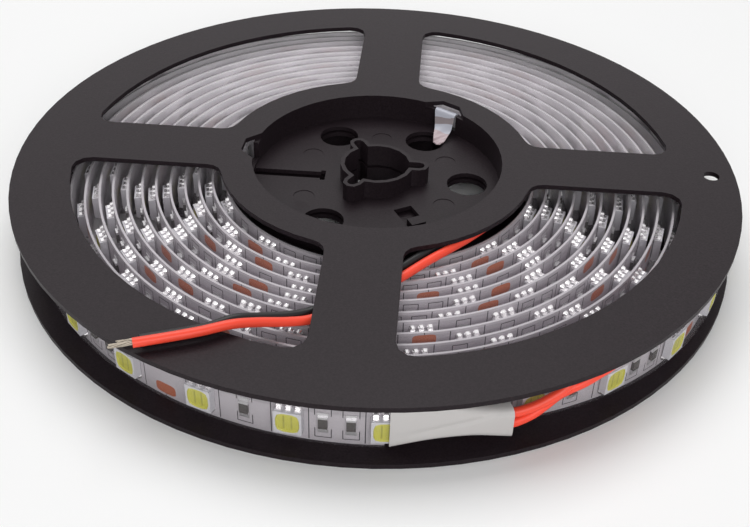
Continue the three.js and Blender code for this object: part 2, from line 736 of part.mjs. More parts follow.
const tapeSpots = tapeRows.map(([inwards, z]) => new THREE.Vector2(RECESS_RADIUS - inwards, z));
const tapeSections = tapeRows.map(([, , from, to], row) => {
  const before = tapeSpots[Math.max(row - 1, 0)];
  const after = tapeSpots[Math.min(row + 1, tapeRows.length - 1)];
  const along = after.clone().sub(before).normalize().multiplyScalar(TAPE_THICKNESS / 2);
  const place = (side, across) => {
    const out = tapeSpots[row].x + side * along.y;
    const spot = new THREE.Vector2(out, across).rotateAround(new THREE.Vector2(), ENTRY_ANGLES[0]);
    return [spot.x, spot.y, tapeSpots[row].y - side * along.x];
  };
  return [place(1, to), place(1, from), place(-1, from), place(-1, to)];
});
addMesh('tape_end', sweepSections(tapeSections), TAPE);

export default group;
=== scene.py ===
"""Dressed model of the LED strip light reel: moulded halves, coiled strip, sleeves and leads."""

import math

import bmesh
import bpy
import numpy as np
from mathutils import Matrix, Vector


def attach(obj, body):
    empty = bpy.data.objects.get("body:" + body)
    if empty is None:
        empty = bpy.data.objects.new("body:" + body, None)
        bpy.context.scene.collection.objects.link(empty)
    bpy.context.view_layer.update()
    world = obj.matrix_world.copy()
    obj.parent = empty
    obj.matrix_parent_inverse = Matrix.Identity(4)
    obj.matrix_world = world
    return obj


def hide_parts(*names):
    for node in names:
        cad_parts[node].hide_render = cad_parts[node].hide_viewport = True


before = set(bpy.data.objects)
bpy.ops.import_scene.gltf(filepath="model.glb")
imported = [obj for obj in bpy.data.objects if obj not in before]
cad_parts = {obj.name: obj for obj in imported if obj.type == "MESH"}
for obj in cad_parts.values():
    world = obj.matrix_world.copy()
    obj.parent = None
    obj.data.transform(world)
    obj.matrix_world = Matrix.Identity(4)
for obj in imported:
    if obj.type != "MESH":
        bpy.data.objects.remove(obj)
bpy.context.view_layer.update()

MM = 0.001

# Sizes of the part's source, in millimetres
REEL_RADIUS = 78.0
REEL_HEIGHT = 14.5
FLANGE_THICKNESS = 1.05
FLANGE_UNDERSIDE = REEL_HEIGHT - FLANGE_THICKNESS
RECESS_RADIUS = 27.5
HUB_WALL = 1.2
ENTRY_ANGLE = 58.0
COAT_WIDTH = 9.8
COAT_THICKNESS = 2.3
LEAD_DIAMETER = 1.8
LEAD_GAP = 0.09
TIP_LENGTH = 4.2
SLEEVE_WALL = 0.3
COAT_TOP = FLANGE_UNDERSIDE - LEAD_DIAMETER - 2 * LEAD_GAP
COAT_MIDDLE = COAT_TOP - COAT_WIDTH / 2
STRIP_LENGTH = 4600.0
LED_PITCH = 50.0 / 3
LED_SIZE = 5.0
LED_HEIGHT = 1.5
LED_FACE_DEPTH = 0.2
WINDING_CLEARANCE = 2.77
RIM_CLEARANCE = 2.9
START_RADIUS = RECESS_RADIUS + HUB_WALL + WINDING_CLEARANCE + COAT_THICKNESS / 2
END_RADIUS = REEL_RADIUS - RIM_CLEARANCE - COAT_THICKNESS / 2
TURN_PITCH = math.pi * (END_RADIUS**2 - START_RADIUS**2) / STRIP_LENGTH
END_ANGLE = math.radians(-78.1)
START_ANGLE = END_ANGLE - 2 * math.pi * (END_RADIUS - START_RADIUS) / TURN_PITCH
END_LIFT, END_LIFT_LENGTH = 0.4, 48.0
START_DROP, START_DROP_LENGTH = 0.95, 45.0
SLACK_HEIGHT, SLACK_FROM, SLACK_RISE, SLACK_FALL, SLACK_TO = 4.2, 318.0, 66.0, 62.0, 462.0

# Dressed strip: cut units of three packages on a board, inside a coat with a domed front. It
# lies SETTLED below the solid's height. Its waves grow over CALM_LENGTH from the inner end, and
# die out over the same length before CALM_END from the outer one.
UNIT = 50.0
UNITS = int(STRIP_LENGTH / UNIT)
RESISTOR_PLACES = (16.667, 30.9, 35.8)
BOARD_HALF = 4.6
COAT_HALF = 4.75
COAT_BACK = -COAT_THICKNESS / 2
BOARD_REAR = COAT_BACK + 0.04
BOARD_FRONT = COAT_BACK + 0.5
COAT_FILM = 0.02
DOME_HEIGHT = 1.8
SETTLED = 0.75
CALM_LENGTH = 250
CALM_END = 470

# Rows of points along the strip, and distances from its outer end: the foot of the profile is
# cut back from CUT_FROM to CUT_TO, and the drawn strip ends at STRIP_TIP, inside the sleeve
STRIP_ROWS = 2400
CUT_FROM, CUT_TO, STRIP_TIP = 8.4, 8.38, 7.0
CUT_FOOT = 3.45

# V of the strip's UV map is the height over this many millimetres
PRINT_HEIGHT = 10

# Rows of points and sides of a lead, a count of points along its path that nothing uses, and steps
# between two given points of a route
LEAD_ROWS, LEAD_SIDES, CORD_POINTS, ROUTE_STEPS = 220, 20, 36, 41

# Gap under a lead that lies on the flange, and the step up to a lead that lies on two others
REST_GAP = 0.05
STACK_STEP = 0.95

# Half the floor's width
FLOOR_REACH = 3000

# Share of the white sky that lights the reel; in the picture and in reflections it is whole
SKY_LIGHT = 0.18


def smooth_step(t):
    """3x^2 - 2x^3 of t held between 0 and 1."""
    x = np.clip(t, 0.0, 1.0)
    return x * x * (3 - 2 * x)


def smooth_sum(t):
    """Area under smooth_step from 0 to t: x^3 - x^4 / 2, and t - 1/2 from 1 on."""
    x = np.clip(t, 0.0, 1.0)
    return x**3 - x**4 / 2 + np.maximum(t - 1.0, 0.0)


def turn_radius(length):
    """The radius squared grows evenly with the length, so the turns lie one pitch apart."""
    return np.sqrt(START_RADIUS**2 + TURN_PITCH * length / math.pi)


def strip_line(length):
    """Radius, angle and height of the strip's middle at each length from its inner end.

    The even winding is lifted at its outer end and dropped at its inner end, to make room for
    the sleeves. The outermost turn stands off by two smooth steps, up and down again, and the
    longer way round turns all that lies inside it forward by the swept area over the radius
    squared. Slow waves of a tenth of a millimetre keep the turns from lying like machined rings
    and die out towards both ends."""
    s = np.asarray(length, float)
    base = turn_radius(s)
    lift = END_LIFT * smooth_step(1 - (STRIP_LENGTH - s) / END_LIFT_LENGTH)
    drop = START_DROP * smooth_step(1 - s / START_DROP_LENGTH)
    rise = (STRIP_LENGTH - s - SLACK_FROM) / SLACK_RISE
    fall = (STRIP_LENGTH - s - SLACK_TO + SLACK_FALL) / SLACK_FALL
    slack = SLACK_HEIGHT * (smooth_step(rise) - smooth_step(fall))
    swept = SLACK_HEIGHT * (SLACK_RISE * smooth_sum(rise) - SLACK_FALL * smooth_sum(fall))
    middle = turn_radius(STRIP_LENGTH - (SLACK_FROM + SLACK_TO) / 2)
    angle = START_ANGLE + 2 * math.pi * (base - START_RADIUS) / TURN_PITCH + swept / middle**2
    to_end = STRIP_LENGTH - CALM_END - s
    calm = smooth_step(s / CALM_LENGTH) * smooth_step(to_end / CALM_LENGTH)
    wave = 0.10 * np.sin(3 * angle + s * 0.0021) + 0.07 * np.sin(7.3 * angle + 1.3)
    sway = 0.18 + 0.10 * np.sin(s * 0.0113) + 0.07 * np.sin(s * 0.031 + 2.0)
    return base + lift - drop + slack + wave * calm, angle, COAT_MIDDLE - SETTLED + sway * calm


def add_piece(name, mesh, slot_name, materials, *nodes):
    """A piece of the reel, which takes the place of the named nodes of the plain part."""
    piece = bpy.data.objects.new(name, mesh)
    bpy.context.scene.collection.objects.link(piece)
    for material in materials:
        mesh.materials.append(material)
    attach(piece, "root")
    if nodes:
        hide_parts(*nodes)
    return piece


def mesh_from(name, points, face_sets, crease=None, kinds=None):
    """Mesh of points in millimetres; each face set is an array with one row of corners a face.

    Edges that turn by more than the crease, in degrees, stay sharp, and without a crease all
    faces are flat. Kinds give each face its material."""
    mesh = bpy.data.meshes.new(name)
    faces = [face for face_set in face_sets for face in face_set.tolist()]
    mesh.from_pydata((points.reshape(-1, 3) * MM).tolist(), [], faces)
    if kinds is not None:
        mesh.polygons.foreach_set("material_index", np.asarray(kinds, np.int32))
    if crease is None:
        mesh.shade_flat()
    else:
        mesh.shade_smooth()
        mesh.set_sharp_from_angle(angle=math.radians(crease))
    mesh.update()
    return mesh


def print_on(mesh, name, points_uv):
    """Named UV map in which every corner takes the pair of values of its own point."""
    corner = np.empty(len(mesh.loops), np.int32)
    mesh.loops.foreach_get("vertex_index", corner)
    layer = mesh.uv_layers.new(name=name)
    layer.data.foreach_set("uv", points_uv[corner].astype(np.float32).ravel())


def tube_faces(rows, columns):
    """Quads between the rings of a tube, stored ring by ring, and caps on the first and the last.

    Rings run anticlockwise as seen from beyond the last one, so that all faces point outwards."""
    r = np.arange(rows - 1)[:, None] * columns
    c = np.arange(columns)[None, :]
    n = (c + 1) % columns
    walls = np.stack([r + c, r + n, r + n + columns, r + c + columns], axis=-1).reshape(-1, 4)
    ring = np.arange(columns)
    return [walls, np.stack([ring[::-1], (rows - 1) * columns + ring])]


def rounded_outline(depth, height, corner, steps):
    """Rectangle of the half sizes with round corners, clockwise in offset and height.

    Each corner is a quarter circle about a centre one corner radius inside both edges. Sizes may
    be columns of values, one a row, and then each row gets its own outline."""
    turn = np.linspace(0, math.pi / 2, steps + 1)
    quarter = np.repeat(np.arange(4), steps + 1)
    a = np.tile(turn, 4) + quarter * math.pi / 2
    across = np.array([1, -1, -1, 1])[quarter]
    upward = np.array([1, 1, -1, -1])[quarter]
    offset = across * (depth - corner) + corner * np.cos(a)
    level = -upward * (height - corner) - corner * np.sin(a)
    return np.stack(np.broadcast_arrays(offset, level), axis=-1)


def domed_outline(height, steps):
    """Coat's outline, clockwise: a flat back and a front that bulges over the packages.

    The front stands off the board by the dome's height times (1 - (v / height)^3)^0.6, v being
    taken without sign."""
    v = height * np.sin(np.linspace(math.pi / 2, -math.pi / 2, steps))
    bulge = DOME_HEIGHT * np.clip(1 - np.abs(v / height) ** 3, 0, 1) ** 0.6
    front = np.stack([BOARD_FRONT + COAT_FILM + bulge, v], axis=1)
    return np.vstack([front, [(COAT_BACK, -height), (COAT_BACK, height)]])


def along_strip(lengths, profile):
    """Each profile point, an outward offset and a height, is carried along the strip's middle."""
    radius, angle, height = (value[:, None] for value in strip_line(lengths))
    out = radius + profile[..., 0]
    return np.stack([out * np.cos(angle), out * np.sin(angle), height + profile[..., 1]], axis=-1)


def around(radius, degrees, height):
    """Points at a radius and an angle about the reel's axis, and at a height."""
    a = np.radians(degrees)
    return np.stack(np.broadcast_arrays(radius * np.cos(a), radius * np.sin(a), height), axis=-1)


def lead_route(points, samples):
    """Smooth curve through the points, resampled evenly along its length, and that length.

    Knots lie the square root of each chord apart; two rounds of blending between neighbouring
    pairs and a last one give each point between the second and third of every four."""
    p = np.asarray(points, float)
    p = np.vstack([2 * p[0] - p[1], p, 2 * p[-1] - p[-2]])
    knots = np.r_[0, np.cumsum(np.sqrt(np.linalg.norm(np.diff(p, axis=0), axis=1)))]
    count = len(p) - 3
    t0, t1, t2, t3 = (knots[k : k + count, None, None] for k in range(4))
    p0, p1, p2, p3 = (p[k : k + count, None, :] for k in range(4))
    t = t1 + (t2 - t1) * np.linspace(0, 1, ROUTE_STEPS)[None, :, None]
    a1 = ((t1 - t) * p0 + (t - t0) * p1) / (t1 - t0)
    a2 = ((t2 - t) * p1 + (t - t1) * p2) / (t2 - t1)
    a3 = ((t3 - t) * p2 + (t - t2) * p3) / (t3 - t2)
    b1 = ((t2 - t) * a1 + (t - t0) * a2) / (t2 - t0)
    b2 = ((t3 - t) * a2 + (t - t1) * a3) / (t3 - t1)
    curve = ((t2 - t) * b1 + (t - t1) * b2) / (t2 - t1)
    dense = np.vstack([curve[:, :-1].reshape(-1, p.shape[1]), curve[-1, -1:]])
    travel = np.r_[0, np.cumsum(np.linalg.norm(np.diff(dense, axis=0), axis=1))]
    at = np.linspace(0, travel[-1], samples)
    return np.stack([np.interp(at, travel, column) for column in dense.T], axis=1), travel[-1]


def round_rings(path, radius, sides):
    """Circles square to a path that never stands upright: one axis of each circle is level."""
    ahead = np.gradient(path, axis=-2)
    ahead /= np.linalg.norm(ahead, axis=-1)[..., None]
    level = np.cross(ahead, [0.0, 0.0, 1.0])
    level /= np.linalg.norm(level, axis=-1)[..., None]
    above = np.cross(level, ahead)
    turn = np.linspace(0, 2 * math.pi, sides, endpoint=False)[:, None]
    ring = np.cos(turn) * level[..., None, :] - np.sin(turn) * above[..., None, :]
    return path[..., None, :] + radius * ring


def finish(name, color, roughness, metallic=0.0, **sockets):
    """Material whose even values are set on the shader's own sockets."""
    made = bpy.data.materials.new(name)
    made.use_nodes = True
    shader = made.node_tree.nodes["Principled BSDF"]
    shader.inputs["Base Color"].default_value = (*color, 1)
    shader.inputs["Roughness"].default_value = roughness
    shader.inputs["Metallic"].default_value = metallic
    for key, value in sockets.items():
        shader.inputs[key.replace("_", " ")].default_value = value
    return made


class Stencil:
    """One value of a print, worked out with Math nodes; comparisons give 1 inside and 0 outside."""

    def __init__(self, tree, socket):
        self.tree = tree
        self.socket = socket

    def worked(self, operation, other=None):
        """One Math node over this value, and over the other one where there is one."""
        node = self.tree.nodes.new("ShaderNodeMath")
        node.operation = operation
        self.tree.links.new(self.socket, node.inputs[0])
        if isinstance(other, Stencil):
            self.tree.links.new(other.socket, node.inputs[1])
        elif other is not None:
            node.inputs[1].default_value = other
        return Stencil(self.tree, node.outputs[0])

    def __add__(self, other):
        return self.worked("ADD", other)

    def __sub__(self, other):
        return self.worked("SUBTRACT", other)

    def __mul__(self, other):
        return self.worked("MULTIPLY", other)

    def __lt__(self, other):
        return self.worked("LESS_THAN", other)

    def __gt__(self, other):
        return self.worked("GREATER_THAN", other)

    def __or__(self, other):
        return self.worked("MAXIMUM", other)

    def within(self, step):
        """Distance to the nearest whole number of steps."""
        return self.worked("PINGPONG", step / 2)

    def size(self):
        """The value without its sign."""
        return self.worked("ABSOLUTE")

    def squared(self):
        return self * self


def grain_of(tree, coordinates, scale, detail):
    """Noise about one half, with the given number of cells to one unit of the coordinates."""
    node = tree.nodes.new("ShaderNodeTexNoise")
    node.inputs["Scale"].default_value = scale
    node.inputs["Detail"].default_value = detail
    tree.links.new(coordinates, node.inputs["Vector"])
    return Stencil(tree, node.outputs["Fac"])


def printed(tree, stencil, ground, ink):
    """Ground colour with ink laid over it where the stencil is 1.

    A Mix node for colours has its factor at 0, its colours at 6 and 7, and its result at 2."""
    node = tree.nodes.new("ShaderNodeMix")
    node.data_type = "RGBA"
    tree.links.new(stencil.socket, node.inputs[0])
    for spot, value in ((6, ground), (7, ink)):
        if isinstance(value, tuple):
            node.inputs[spot].default_value = (*value, 1)
        else:
            tree.links.new(value, node.inputs[spot])
    return node.outputs[2]


def roughen(tree, height, strength, distance):
    """Bump that follows the height value, over a distance in metres."""
    node = tree.nodes.new("ShaderNodeBump")
    node.inputs["Strength"].default_value = strength
    node.inputs["Distance"].default_value = distance
    tree.links.new(height.socket, node.inputs["Height"])
    tree.links.new(node.outputs[0], tree.nodes["Principled BSDF"].inputs["Normal"])


def placed_on(tree, uv_name):
    """The named UV map, and its values across and up."""
    uv = tree.nodes.new("ShaderNodeUVMap")
    uv.uv_map = uv_name
    split = tree.nodes.new("ShaderNodeSeparateXYZ")
    tree.links.new(uv.outputs[0], split.inputs[0])
    return uv.outputs[0], Stencil(tree, split.outputs[0]), Stencil(tree, split.outputs[1])


def reel_plastic():
    """Black moulded plastic: dull, finely pitted, a little uneven in its tone.

    Pits and grains are counted to the metre."""
    made = finish("reel_plastic", (0.015, 0.012, 0.014), 0.42, Specular_IOR_Level=0.12)
    tree = made.node_tree
    pit_count, grain_count, pit_depth = 3000, 2600, 0.06 * MM
    place = tree.nodes.new("ShaderNodeTexCoord").outputs["Object"]
    pits = grain_of(tree, place, pit_count, 1.0)
    grains = grain_of(tree, place, grain_count, 3.0)
    color = printed(tree, grains, (0.004, 0.002, 0.003), (0.028, 0.020, 0.024))
    tree.links.new(color, tree.nodes["Principled BSDF"].inputs["Base Color"])
    roughen(tree, pits, 0.3, pit_depth)
    return made


def board_print():
    """White circuit board: a dark line on each side of every light package, open brackets round
    each resistor, copper pads at each cut, and rails that show faintly through the white.

    U counts cut units along the strip and V is the height over PRINT_HEIGHT. All sizes are
    half widths, or distances from the middle of what they belong to."""
    made = finish("board_print", (0.56, 0.53, 0.56), 0.42)
    tree = made.node_tree
    flat, u, v = placed_on(tree, "strip")
    line, fence_line, fence_place, fence_top = 0.09, 0.10, 3.4, 4.4
    leg_place, leg_foot, bracket_top, bar_end = 1.45, 1.5, 3.6, 1.5
    cut_foot, pad_place, rail_place, rail_half = 4.0, 2.85, 3.0, 1.0
    u = u * UNIT
    v = v * PRINT_HEIGHT
    high = v.size()
    beside = ((u + LED_PITCH / 2).within(LED_PITCH) - fence_place).size()
    marks = (beside < fence_line) * (high < fence_top)
    for place in RESISTOR_PLACES:
        off = (u - place).within(UNIT)
        legs = ((off - leg_place).size() < line) * (high < bracket_top) * (high > leg_foot)
        bars = (off < bar_end) * ((high - bracket_top).size() < line)
        marks = marks | legs | bars
    cut = u.within(UNIT)
    marks = marks | (cut < line) * (high > cut_foot)
    across_pad = (cut * 0.44).squared().squared()
    pad = across_pad + ((high - pad_place) * 0.8).squared().squared()
    copper = pad < 1.0
    rails = ((v - rail_place).size() < rail_half) * 0.4
    shade = grain_of(tree, flat, 34, 2.0) * 0.5 + rails
    ground = printed(tree, shade, (0.54, 0.505, 0.535), (0.33, 0.305, 0.33))
    marked = printed(tree, marks, ground, (0.03, 0.026, 0.03))
    finished = printed(tree, copper, marked, (0.42, 0.105, 0.04))
    tree.links.new(finished, tree.nodes["Principled BSDF"].inputs["Base Color"])
    return made


def package_lens():
    """Yellow gel over three chips: a darker seam on each side of the middle one, uneven tone."""
    made = finish("package_lens", (0.52, 0.50, 0.06), 0.3)
    tree = made.node_tree
    flat, across, high = placed_on(tree, "package")
    seam_place, seam_half, seam_end = 0.7, 0.16, 1.5
    seams = ((across.size() - seam_place).size() < seam_half) * (high.size() < seam_end)
    uneven = grain_of(tree, flat, 0.9, 2.0)
    color = printed(tree, seams * 0.45 + uneven * 0.35, (0.60, 0.57, 0.07), (0.26, 0.25, 0.035))
    tree.links.new(color, tree.nodes["Principled BSDF"].inputs["Base Color"])
    return made


def clear_coat():
    """Clear soft coat: see-through with a faint milkiness and a soft gloss."""
    made = finish("clear_coat", (0.62, 0.58, 0.62), 0.2, Alpha=0.07, Specular_IOR_Level=0.4)
    made.surface_render_method = "BLENDED"
    return made


PLASTIC = reel_plastic()
BOARD = board_print()
# The backing lets light in and spreads it
spreads_light = {
    "Subsurface_Weight": 1.0,
    "Subsurface_Scale": 0.002,
    "Subsurface_Radius": (1, 1, 1),
}
# The board's back is painted far lighter than its front: painted light for the light its coat
# scatters onto it where it lies in shade
BOARD_BACK_PAINTED_LIGHT = finish("board_back", (0.90, 0.81, 0.90), 0.4, **spreads_light)
BOARD_EDGE = finish("board_edge", (0.50, 0.47, 0.50), 0.5)
COAT = clear_coat()
HOUSING = finish("package_housing", (0.60, 0.59, 0.62), 0.4)
LENS = package_lens()
SOLDER = finish("solder", (0.95, 0.93, 0.94), 0.24, 0.85)
CHIP = finish("resistor_body", (0.045, 0.04, 0.036), 0.5)
CHIP_END = finish("resistor_end", (0.66, 0.65, 0.66), 0.3, 0.75)
SLEEVE = finish("shrunk_sleeve", (0.54, 0.52, 0.51), 0.32)
RED = finish("red_insulation", (0.95, 0.078, 0.04), 0.36, Specular_IOR_Level=0.35)
BLACK = finish("black_insulation", (0.010, 0.009, 0.010), 0.36, Specular_IOR_Level=0.25)
STRANDS = finish("tinned_strands", (0.32, 0.28, 0.23), 0.36, 0.7)
TAPE = finish("milky_tape", (0.42, 0.41, 0.46), 0.32, Alpha=0.82)
TAPE.surface_render_method = "BLENDED"


def moulded_half(name, *nodes):
    """Flange and hub of one half in a single mesh, its edges slightly rounded.

    Loose corners are merged and triangles that lie flat are joined first."""
    merge_within, edge_width = 0.002 * MM, 0.14 * MM
    flat, crease, rounded_from = (math.radians(angle) for angle in (0.6, 24, 40))
    joint = bmesh.new()
    for node in nodes:
        joint.from_mesh(bpy.data.objects[node].data)
    bmesh.ops.remove_doubles(joint, verts=joint.verts, dist=merge_within)
    bmesh.ops.dissolve_limit(joint, angle_limit=flat, verts=joint.verts, edges=joint.edges)
    mesh = bpy.data.meshes.new(name)
    joint.to_mesh(mesh)
    joint.free()
    mesh.shade_smooth()
    mesh.set_sharp_from_angle(angle=crease)
    half = add_piece(name, mesh, "black_plastic", [PLASTIC], *nodes)
    edge = half.modifiers.new("edge", "BEVEL")
    edge.width = edge_width
    edge.segments = 2
    edge.limit_method = "ANGLE"
    edge.angle_limit = rounded_from
    edge.harden_normals = True


moulded_half("reel_upper", "upper_flange", "upper_hub")
moulded_half("reel_lower", "lower_flange", "lower_hub")


last_rows = [STRIP_LENGTH - CUT_TO, STRIP_LENGTH - STRIP_TIP]
lengths = np.r_[np.linspace(0, STRIP_LENGTH - CUT_FROM, STRIP_ROWS), last_rows]


def cut_back(profile):
    """The profile at every length; near the outer end its foot is cut off to fit the sleeve."""
    rows = np.repeat(profile[None], len(lengths), axis=0)
    foot = CUT_FOOT - strip_line(lengths[-1])[2]
    rows[-2:, :, 1] = np.maximum(rows[-2:, :, 1], foot)
    return rows


def strip_layer(name, profile, crease, materials, kinds=None):
    """The profile carried along the whole strip; kinds give each side of it a material, and the
    two ends of the strip get the second one."""
    points = along_strip(lengths, cut_back(profile))
    face_sets = tube_faces(len(lengths), len(profile))
    if kinds is not None:
        kinds = np.r_[np.tile(kinds, len(lengths) - 1), 1, 1]
    mesh = mesh_from(name, points, face_sets, crease, kinds)
    level = np.tile(profile[:, 1] / PRINT_HEIGHT, len(lengths))
    count = np.repeat(lengths / UNIT, len(profile))
    print_on(mesh, "strip", np.stack([count, level], axis=1))
    add_piece(name, mesh, "clear_coat", materials, "strip_roll")


board_outline = np.array(
    [
        (BOARD_FRONT, BOARD_HALF),
        (BOARD_FRONT, -BOARD_HALF),
        (BOARD_REAR, -BOARD_HALF),
        (BOARD_REAR, BOARD_HALF),
    ]
)
board_finishes = [BOARD, BOARD_BACK_PAINTED_LIGHT, BOARD_EDGE]
strip_layer("strip_board", board_outline, 30, board_finishes, [0, 2, 1, 2])
strip_layer("strip_coat", domed_outline(COAT_HALF, 13), 50, [COAT])


def built_up(outlines, heights):
    """Small shape of one outline at each height: its points, each with its places along the
    strip, outwards and upwards, and its faces."""
    sides = len(outlines[0])
    level = np.repeat(np.asarray(heights, float), sides)
    flat = np.concatenate(outlines)
    return np.stack([flat[:, 0], level, flat[:, 1]], axis=1), tube_faces(len(outlines), sides)


def joined(parts):
    """One shape of several: their points in a row, and each one's faces counted on from there."""
    starts = np.cumsum([0] + [len(points) for points, face_sets in parts])
    points = np.concatenate([points for points, face_sets in parts])
    shifted = [
        face_set + start for (_, face_sets), start in zip(parts, starts) for face_set in face_sets
    ]
    return points, shifted


def set_on_strip(name, shape, kinds, places, slot_name, materials, crease, *nodes):
    """Copies of a small shape at the given lengths of the strip, all in one mesh, each turned by
    the strip's angle at its place.

    Kinds hold one row of materials for each of the shape's face sets."""
    local, face_sets = shape
    radius, angle, height = (value[:, None] for value in strip_line(places))
    out = radius + local[:, 1]
    x = out * np.cos(angle) - local[:, 0] * np.sin(angle)
    y = out * np.sin(angle) + local[:, 0] * np.cos(angle)
    points = np.stack([x, y, height + local[:, 2]], axis=-1)
    steps = np.arange(len(places))[:, None, None] * len(local)
    every = [(face_set + steps).reshape(-1, face_set.shape[1]) for face_set in face_sets]
    every_kind = np.concatenate([np.tile(kind, len(places)) for kind in kinds])
    mesh = mesh_from(name, points, every, crease, every_kind)
    print_on(mesh, "package", np.tile(local[:, [0, 2]], (len(places), 1)))
    add_piece(name, mesh, slot_name, materials, *nodes)


def package_shape():
    """A square housing with a shallow bowl of gel, whose outline lies between round and square:
    the radius in each direction is 1 over the fourth root of cos^4 + sin^4."""
    sides, bowl_rim, bowl_floor, bowl_depth = 16, 2.12, 1.95, 0.22
    turn = np.linspace(0, 2 * math.pi, sides, endpoint=False)
    circle = np.stack([np.cos(turn), np.sin(turn)], axis=1)
    square = circle / np.abs(circle).max(axis=1)[:, None]
    bowl = circle / (circle**4).sum(axis=1)[:, None] ** 0.25
    front = COAT_THICKNESS / 2 - LED_FACE_DEPTH
    half = LED_SIZE / 2
    outlines = [square * half, square * half, bowl * bowl_rim, bowl * bowl_floor]
    shape = built_up(outlines, [front - LED_HEIGHT, front, front, front - bowl_depth])
    return shape, [np.repeat([0, 0, 1], sides), np.array([0, 1])]


def solder_shape():
    """Three drops of solder above the package and three below, each at the foot of a leg that
    runs up the package's side.

    A drop is a dome of six sides, cut off level where it has turned by 50 degrees."""
    columns = (-1.7, 0.0, 1.7)
    drop_place, drop_along, drop_across, drop_rise = 3.05, 0.78, 0.75, 0.85
    leg_place, leg_along, leg_across, leg_top = 2.6, 0.55, 0.15, 0.6
    tilt = np.radians([0, 50])
    turn = np.linspace(0, 2 * math.pi, 6, endpoint=False)
    ring = np.stack([drop_along * np.cos(turn), drop_across * np.sin(turn)], axis=1)
    heights = BOARD_FRONT + drop_rise * np.sin(tilt)
    spots = [(x, z) for z in (-drop_place, drop_place) for x in columns]
    parts = [built_up([ring * c + spot for c in np.cos(tilt)], heights) for spot in spots]
    side = np.array([(-1, -1), (1, -1), (1, 1), (-1, 1)]) * (leg_along, leg_across)
    legs = [(x, z) for z in (-leg_place, leg_place) for x in columns]
    parts += [built_up([side + spot, side + spot], [BOARD_FRONT, leg_top]) for spot in legs]
    shape = joined(parts)
    return shape, [np.zeros(len(face_set), int) for face_set in shape[1]]


def resistor_shape():
    """A dark chip that stands across the strip between two bright ends on their pads.

    Each block's row has its half width, its lower and upper end, its rise and its material."""
    parts, kinds = [], []
    for half, low, high, rise, kind in (
        (0.80, -1.10, 1.10, 0.62, 0),
        (0.86, 1.00, 1.55, 0.56, 1),
        (0.86, -1.55, -1.00, 0.56, 1),
        (0.95, 1.50, 2.35, 0.16, 1),
        (0.95, -2.35, -1.50, 0.16, 1),
    ):
        outline = np.array([(-half, low), (half, low), (half, high), (-half, high)])
        parts.append(built_up([outline, outline], [BOARD_FRONT, BOARD_FRONT + rise]))
        kinds += [np.full(4, kind), np.full(2, kind)]
    return joined(parts), kinds


led_places = LED_PITCH * (np.arange(3 * UNITS) + 0.5)
led_nodes = [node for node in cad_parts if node.startswith("led_")]
shape, kinds = package_shape()
packages = (shape, kinds, led_places, "led_package", [HOUSING, LENS], 30)
set_on_strip("light_packages", *packages, *led_nodes)
shape, kinds = solder_shape()
set_on_strip("package_solder", shape, kinds, led_places, "tinned_copper", [SOLDER], 60)
resistor_places = np.add.outer(np.arange(UNITS) * UNIT, RESISTOR_PLACES).ravel()
shape, kinds = resistor_shape()
set_on_strip("resistors", shape, kinds, resistor_places, "led_package", [CHIP, CHIP_END], 30)


# Degrees at which the strip starts and ends, radii of its two ends, and the heights of a lead
# under the flange, on the flange, and on the flange over the other lead
START_TURN = (math.degrees(START_ANGLE) + 540) % 360 - 180
END_TURN = math.degrees(END_ANGLE)
HEEL = START_RADIUS - START_DROP
LIFTED = END_RADIUS + END_LIFT
CROSSING = FLANGE_UNDERSIDE - LEAD_GAP - LEAD_DIAMETER / 2
RESTING = REEL_HEIGHT + REST_GAP + LEAD_DIAMETER / 2
STACKED = RESTING + STACK_STEP

# Inner leads: from their sleeve up beside the hub, along the flange's underside, out through
# the window and over the flange
INNER_RED = [
    around(HEEL, START_TURN - 3.2, COAT_MIDDLE + 1.4),
    around(HEEL, START_TURN - 9, COAT_MIDDLE + 1.7),
    around(HEEL + 0.1, START_TURN - 15, COAT_MIDDLE + 3.6),
    around(HEEL + 0.3, START_TURN - 24, CROSSING - 0.5),
    around(HEEL + 0.2, START_TURN - 46, CROSSING),
    (20.7, -25.6, CROSSING),
    (16.7, -30.0, CROSSING),
    (12.0, -35.1, CROSSING),
    (8.1, -39.7, CROSSING),
    (2.6, -45.6, CROSSING),
    (-3.2, -50.9, CROSSING),
    (-8.3, -54.5, CROSSING),
    (-11.9, -56.5, CROSSING + 0.85),
    (-17.2, -59.2, STACKED - 1.4),
    (-21.0, -61.4, STACKED - 0.3),
    (-26.1, -64.2, STACKED),
    (-31.6, -66.4, STACKED),
    (-36.8, -68.3, STACKED),
]
INNER_BLACK = [
    around(HEEL, START_TURN - 3.2, COAT_MIDDLE - 1.4),
    around(HEEL - 0.1, START_TURN - 9, COAT_MIDDLE - 1.1),
    around(HEEL - 1.3, START_TURN - 17, COAT_MIDDLE + 1.4),
    around(HEEL - 1.6, START_TURN - 28, CROSSING - 0.9),
    around(HEEL - 1.8, START_TURN - 48, CROSSING - 0.06),
    (17.9, -25.5, CROSSING),
    (14.6, -28.9, CROSSING),
    (10.2, -33.9, CROSSING),
    (6.4, -38.4, CROSSING),
    (1.1, -44.0, CROSSING),
    (-4.5, -49.3, CROSSING),
    (-8.9, -52.5, CROSSING),
    (-12.4, -54.6, CROSSING + 0.6),
    (-17.2, -57.0, RESTING - 1.15),
    (-21.0, -59.15, RESTING + 0.02),
    (-25.6, -62.05, RESTING),
    (-31.0, -64.3, RESTING),
    (-36.1, -66.2, RESTING),
]

